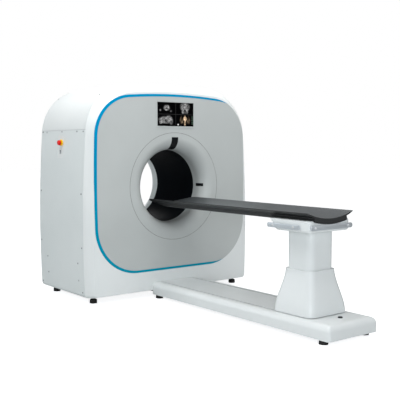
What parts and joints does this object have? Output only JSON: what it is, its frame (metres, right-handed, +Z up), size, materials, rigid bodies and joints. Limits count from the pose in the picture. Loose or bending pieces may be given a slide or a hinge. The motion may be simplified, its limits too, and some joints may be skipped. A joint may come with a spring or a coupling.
{
  "type": "ct scanner",
  "caption": "Box-shaped ring scanner on levelling feet, open through its middle, with a floor slab in front on which a column carries a long dished patient table that travels into the opening.",
  "frame": {"origin": "on the floor under the centre of the bounding box, table out", "axes": "+Z up, +Y along the bore from the table end to the back of the gantry, +X to the right seen from the table end"},
  "size_m": [1.5616, 2.66, 1.6499],
  "materials": {
    "cover_white": "satin painted vacuum-formed plastic",
    "cover_grey": "satin painted vacuum-formed plastic",
    "panel_grey": "satin painted plastic",
    "stripe_blue": "gloss moulded trim",
    "tunnel_black": "satin moulded liner",
    "carbon_skin": "satin carbon-fibre skin",
    "black_moulding": "fine-textured moulding",
    "screen_glass": "clear cover over a lit panel",
    "stop_red": "gloss moulding",
    "stop_yellow": "gloss moulding",
    "rail_aluminium": "clear anodised",
    "screw_steel": "bright zinc plated",
    "foot_rubber": "moulded",
    "frame_paint": "powder coated steel",
    "belt_rubber": "moulded toothed belt",
    "copper_ring": "polished contact track"
  },
  "bodies": {
    "machine": {"front_cover": "cover_white", "rear_cover": "cover_white", "top_shell": "cover_white", "slab_cover": "cover_white", "side_panel_left": "cover_grey", "side_panel_right": "cover_grey", "front_funnel": "cover_grey", "rear_funnel": "cover_grey", "front_panel": "panel_grey", "switch_plate": "panel_grey", "accent_strip": "stripe_blue", "bore_tunnel": "tunnel_black", "laser_windows": "tunnel_black", "display_housing": "black_moulding", "slab_plug": "black_moulding", "brush_block": "black_moulding", "fan_frame": "black_moulding", "display_glass": "screen_glass", "estop_collar": "stop_yellow", "cover_screws": "screw_steel", "foot_locknuts": "screw_steel", "bearing_outer_ring": "screw_steel", "linear_rails": "screw_steel", "levelling_feet": "foot_rubber", "gantry_frame": "frame_paint", "cover_hoops": "frame_paint", "slab_chassis": "frame_paint", "drive_motor": "frame_paint", "table_motor": "frame_paint", "power_supply": "frame_paint", "drive_belt": "belt_rubber", "table_belt": "belt_rubber"},
    "rotor": {"rotor_drum": "rail_aluminium", "bearing_inner_ring": "screw_steel", "bearing_balls": "screw_steel", "slip_ring": "copper_ring", "xray_source": "frame_paint", "collimator": "frame_paint", "detector_array": "frame_paint", "generator": "frame_paint", "heat_exchanger": "rail_aluminium"},
    "motor_pulley": {"motor_pulley": "screw_steel"},
    "fan": {"fan_rotor": "black_moulding"},
    "stop_stem": {"estop_stem": "screw_steel"},
    "stop_head": {"estop_cap": "stop_red"},
    "rocker": {"power_rocker": "black_moulding"},
    "table_drive": {"table_drive_pulley": "screw_steel"},
    "table_idler": {"table_idler_pulley": "screw_steel"},
    "carriage": {"rail_blocks": "screw_steel", "carriage": "rail_aluminium", "column_mast": "rail_aluminium", "column_skirt": "cover_white"},
    "patient_table": {"lift_tube": "rail_aluminium", "head_frame": "rail_aluminium", "head_cover": "cover_white", "column_sleeve": "cover_white", "table_saddle": "black_moulding", "tabletop": "carbon_skin", "accessory_rails": "rail_aluminium", "rail_screws": "screw_steel"}
  },
  "joints": [
    {"name": "carriage_travel", "type": "slide", "parent": "machine", "child": "carriage", "axis": [0, 1, 0], "range_m": [0, 1.15]},
    {"name": "column_lift", "type": "slide", "parent": "carriage", "child": "patient_table", "axis": [0, 0, 1], "range_m": [-0.06, 0.1]},
    {"name": "rotor_spin", "type": "hinge", "parent": "machine", "child": "rotor", "pos_m": [0, 0.785, 0.86], "axis": [0, 1, 0], "continuous": true},
    {"name": "motor_spin", "type": "hinge", "parent": "machine", "child": "motor_pulley", "pos_m": [0.6, 0.797, 0.21], "axis": [0, 1, 0], "continuous": true},
    {"name": "fan_spin", "type": "hinge", "parent": "machine", "child": "fan", "pos_m": [0, 1.31, 1.4], "axis": [0, 1, 0], "continuous": true},
    {"name": "stop_press", "type": "slide", "parent": "machine", "child": "stop_stem", "axis": [1, 0, 0], "range_m": [0, 0.004]},
    {"name": "stop_twist", "type": "hinge", "parent": "stop_stem", "child": "stop_head", "pos_m": [-0.77, 0.945, 1.202], "axis": [1, 0, 0], "range_deg": [0, 40], "stiffness_Nm_per_rad": 0.15},
    {"name": "rocker_tilt", "type": "hinge", "parent": "machine", "child": "rocker", "pos_m": [-0.7492, 0.958, 1.131], "axis": [0, 1, 0], "range_deg": [-7, 7], "stiffness_Nm_per_rad": 0.4},
    {"name": "table_drive_spin", "type": "hinge", "parent": "machine", "child": "table_drive", "pos_m": [0, 0.42, 0.062], "axis": [1, 0, 0], "range_deg": [-4310, 0]},
    {"name": "table_idler_spin", "type": "hinge", "parent": "machine", "child": "table_idler", "pos_m": [0, -1.285, 0.062], "axis": [1, 0, 0], "range_deg": [-4310, 0]}
  ],
  "couplings": [
    {"joint": "motor_spin", "follows": "rotor_spin", "ratio": 15.111},
    {"joint": "table_drive_spin", "follows": "carriage_travel", "rad_per_m": -65.36},
    {"joint": "table_idler_spin", "follows": "carriage_travel", "rad_per_m": -65.36}
  ]
}
